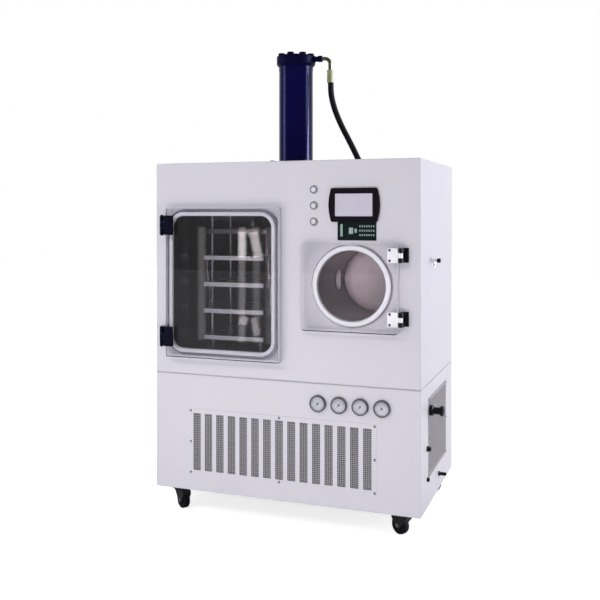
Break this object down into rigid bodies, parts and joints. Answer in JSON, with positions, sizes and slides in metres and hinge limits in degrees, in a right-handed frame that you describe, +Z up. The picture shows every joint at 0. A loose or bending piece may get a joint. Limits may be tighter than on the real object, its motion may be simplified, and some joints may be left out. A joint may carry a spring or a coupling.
{
  "type": "freeze dryer",
  "caption": "Pilot freeze dryer on casters: shelf chamber with a stoppering press, round cold trap, clear doors, touch panel, vacuum gauges and a hydraulic ram on top.",
  "frame": {"origin": "on the floor, under the middle of the whole machine's outline", "axes": "+Z up, +Y from the doors towards the back, +X to the right when facing the doors"},
  "size_m": [1.1864, 0.7474, 1.945],
  "materials": {
    "white_paint": "satin powder coat",
    "grey_paint": "satin grey paint on perforated sheet",
    "blue_paint": "glossy navy enamel",
    "black_steel": "black painted steel",
    "stainless": "polished stainless steel",
    "chrome": "hard chrome",
    "zinc": "yellow zinc plate",
    "dark_anodised": "dark anodised",
    "aluminium": "bare fins",
    "silicone": "white silicone",
    "hose_rubber": "black hose rubber",
    "wheel_rubber": "black wheel rubber",
    "black_plastic": "matte black",
    "black_gloss": "glossy black",
    "white_dial": "white",
    "green_board": "dark green laminate",
    "clear_acrylic": "clear polished acrylic"
  },
  "bodies": {
    "cabinet": {"upper_cabinet": "white_paint", "lower_cabinet": "white_paint", "rear_panel": "white_paint", "base_tray": "black_steel", "front_grille": "white_paint", "side_vent": "grey_paint", "grille_mesh": "grey_paint", "touch_screen": "black_gloss", "terminal_board": "green_board", "drying_chamber": "stainless", "chamber_gasket": "silicone", "chamber_hinge_post": "dark_anodised", "shelf_frame": "stainless", "ram_barrel": "blue_paint", "ram_head": "blue_paint", "hose_fitting": "zinc", "hydraulic_hose": "hose_rubber", "hose_boot": "hose_rubber", "cold_trap": "stainless", "trap_gasket": "silicone", "trap_hinge_post_lower": "black_plastic", "trap_hinge_post_upper": "black_plastic", "vacuum_port": "black_steel", "cable_gland": "black_plastic", "drain_spout": "black_plastic", "vent_valve": "chrome", "compressor": "black_steel", "condenser": "aluminium", "gauge_1": "white_dial", "gauge_2": "white_dial", "gauge_3": "white_dial", "gauge_4": "white_dial"},
    "chamber_door": {"chamber_door": "clear_acrylic", "chamber_hinge_lower": "dark_anodised", "chamber_hinge_upper": "dark_anodised"},
    "trap_door": {"trap_door": "clear_acrylic", "trap_hinge_leaf_lower": "chrome", "trap_hinge_leaf_upper": "chrome"},
    "press": {"press_ram": "chrome", "pressing_plate": "stainless"},
    "shelf_1": {"shelf_1": "stainless"},
    "shelf_2": {"shelf_2": "stainless"},
    "shelf_3": {"shelf_3": "stainless"},
    "vent_knob": {"vent_knob": "black_plastic"},
    "condenser_fan": {"condenser_fan": "black_plastic"},
    "push_button_1": {"push_button_1": "white_dial"},
    "push_button_2": {"push_button_2": "white_dial"},
    "push_button_3": {"push_button_3": "white_dial"},
    "gauge_pointer_1": {"gauge_pointer_1": "black_steel"},
    "gauge_pointer_2": {"gauge_pointer_2": "black_steel"},
    "gauge_pointer_3": {"gauge_pointer_3": "black_steel"},
    "gauge_pointer_4": {"gauge_pointer_4": "black_steel"},
    "caster_fork_front_left": {"caster_fork_front_left": "black_steel"},
    "caster_wheel_front_left": {"caster_wheel_front_left": "wheel_rubber"},
    "caster_fork_front_right": {"caster_fork_front_right": "black_steel"},
    "caster_wheel_front_right": {"caster_wheel_front_right": "wheel_rubber"},
    "caster_fork_rear_left": {"caster_fork_rear_left": "black_steel"},
    "caster_wheel_rear_left": {"caster_wheel_rear_left": "wheel_rubber"},
    "caster_fork_rear_right": {"caster_fork_rear_right": "black_steel"},
    "caster_wheel_rear_right": {"caster_wheel_rear_right": "wheel_rubber"}
  },
  "joints": [
    {"name": "chamber_door_hinge", "type": "hinge", "parent": "cabinet", "child": "chamber_door", "pos_m": [-0.54025, -0.36465, 0.9665], "axis": [0, 0, -1], "range_deg": [0, 120]},
    {"name": "trap_door_hinge", "type": "hinge", "parent": "cabinet", "child": "trap_door", "pos_m": [0.46875, -0.35565, 0.9625], "axis": [0, 0, 1], "range_deg": [0, 120]},
    {"name": "press_slide", "type": "slide", "parent": "cabinet", "child": "press", "axis": [0, 0, -1], "range_m": [0, 0.15]},
    {"name": "shelf_1_slide", "type": "slide", "parent": "cabinet", "child": "shelf_1", "axis": [0, 0, -1], "range_m": [0, 0.1125]},
    {"name": "shelf_2_slide", "type": "slide", "parent": "cabinet", "child": "shelf_2", "axis": [0, 0, -1], "range_m": [0, 0.075]},
    {"name": "shelf_3_slide", "type": "slide", "parent": "cabinet", "child": "shelf_3", "axis": [0, 0, -1], "range_m": [0, 0.0375]},
    {"name": "push_button_1_press", "type": "slide", "parent": "cabinet", "child": "push_button_1", "axis": [0, 1, 0], "range_m": [0, 0.003], "stiffness_N_per_m": 800, "springref_m": -0.001},
    {"name": "push_button_2_press", "type": "slide", "parent": "cabinet", "child": "push_button_2", "axis": [0, 1, 0], "range_m": [0, 0.003], "stiffness_N_per_m": 800, "springref_m": -0.001},
    {"name": "push_button_3_press", "type": "slide", "parent": "cabinet", "child": "push_button_3", "axis": [0, 1, 0], "range_m": [0, 0.003], "stiffness_N_per_m": 800, "springref_m": -0.001},
    {"name": "gauge_pointer_1_turn", "type": "hinge", "parent": "cabinet", "child": "gauge_pointer_1", "pos_m": [0.12875, -0.32605, 0.5035], "axis": [0, 1, 0], "range_deg": [0, 270], "stiffness_Nm_per_rad": 0.0005, "springref_deg": -11.46},
    {"name": "gauge_pointer_2_turn", "type": "hinge", "parent": "cabinet", "child": "gauge_pointer_2", "pos_m": [0.21475, -0.32605, 0.5035], "axis": [0, 1, 0], "range_deg": [0, 270], "stiffness_Nm_per_rad": 0.0005, "springref_deg": -11.46},
    {"name": "gauge_pointer_3_turn", "type": "hinge", "parent": "cabinet", "child": "gauge_pointer_3", "pos_m": [0.30075, -0.32605, 0.5035], "axis": [0, 1, 0], "range_deg": [0, 270], "stiffness_Nm_per_rad": 0.0005, "springref_deg": -11.46},
    {"name": "gauge_pointer_4_turn", "type": "hinge", "parent": "cabinet", "child": "gauge_pointer_4", "pos_m": [0.38675, -0.32605, 0.5035], "axis": [0, 1, 0], "range_deg": [0, 270], "stiffness_Nm_per_rad": 0.0005, "springref_deg": -11.46},
    {"name": "vent_knob_turn", "type": "hinge", "parent": "cabinet", "child": "vent_knob", "pos_m": [0.56675, -0.13135, 1.0635], "axis": [1, 0, 0], "range_deg": [0, 90]},
    {"name": "condenser_fan_spin", "type": "hinge", "parent": "cabinet", "child": "condenser_fan", "pos_m": [-0.03625, -0.17035, 0.27], "axis": [0, 1, 0], "continuous": true},
    {"name": "caster_swivel_front_left", "type": "hinge", "parent": "cabinet", "child": "caster_fork_front_left", "pos_m": [-0.51825, -0.24135, 0.095], "axis": [0, 0, 1], "continuous": true},
    {"name": "caster_roll_front_left", "type": "hinge", "parent": "caster_fork_front_left", "child": "caster_wheel_front_left", "pos_m": [-0.49531, -0.25741, 0.03678], "axis": [0.5736, 0.8192, 0], "continuous": true},
    {"name": "caster_swivel_front_right", "type": "hinge", "parent": "cabinet", "child": "caster_fork_front_right", "pos_m": [0.46175, -0.24135, 0.095], "axis": [0, 0, 1], "continuous": true},
    {"name": "caster_roll_front_right", "type": "hinge", "parent": "caster_fork_front_right", "child": "caster_wheel_front_right", "pos_m": [0.4375, -0.22735, 0.03678], "axis": [-0.5, -0.866, 0], "continuous": true},
    {"name": "caster_swivel_rear_left", "type": "hinge", "parent": "cabinet", "child": "caster_fork_rear_left", "pos_m": [-0.51825, 0.29865, 0.095], "axis": [0, 0, 1], "continuous": true},
    {"name": "caster_roll_rear_left", "type": "hinge", "parent": "caster_fork_rear_left", "child": "caster_wheel_rear_left", "pos_m": [-0.52311, 0.32622, 0.03678], "axis": [-0.9848, -0.1736, 0], "continuous": true},
    {"name": "caster_swivel_rear_right", "type": "hinge", "parent": "cabinet", "child": "caster_fork_rear_right", "pos_m": [0.46175, 0.29865, 0.095], "axis": [0, 0, 1], "continuous": true},
    {"name": "caster_roll_rear_right", "type": "hinge", "parent": "caster_fork_rear_right", "child": "caster_wheel_rear_right", "pos_m": [0.47133, 0.32496, 0.03678], "axis": [-0.9397, 0.342, 0], "continuous": true}
  ],
  "couplings": [
    {"joint": "shelf_1_slide", "follows": "press_slide", "ratio": 0.75},
    {"joint": "shelf_2_slide", "follows": "press_slide", "ratio": 0.5},
    {"joint": "shelf_3_slide", "follows": "press_slide", "ratio": 0.25}
  ]
}
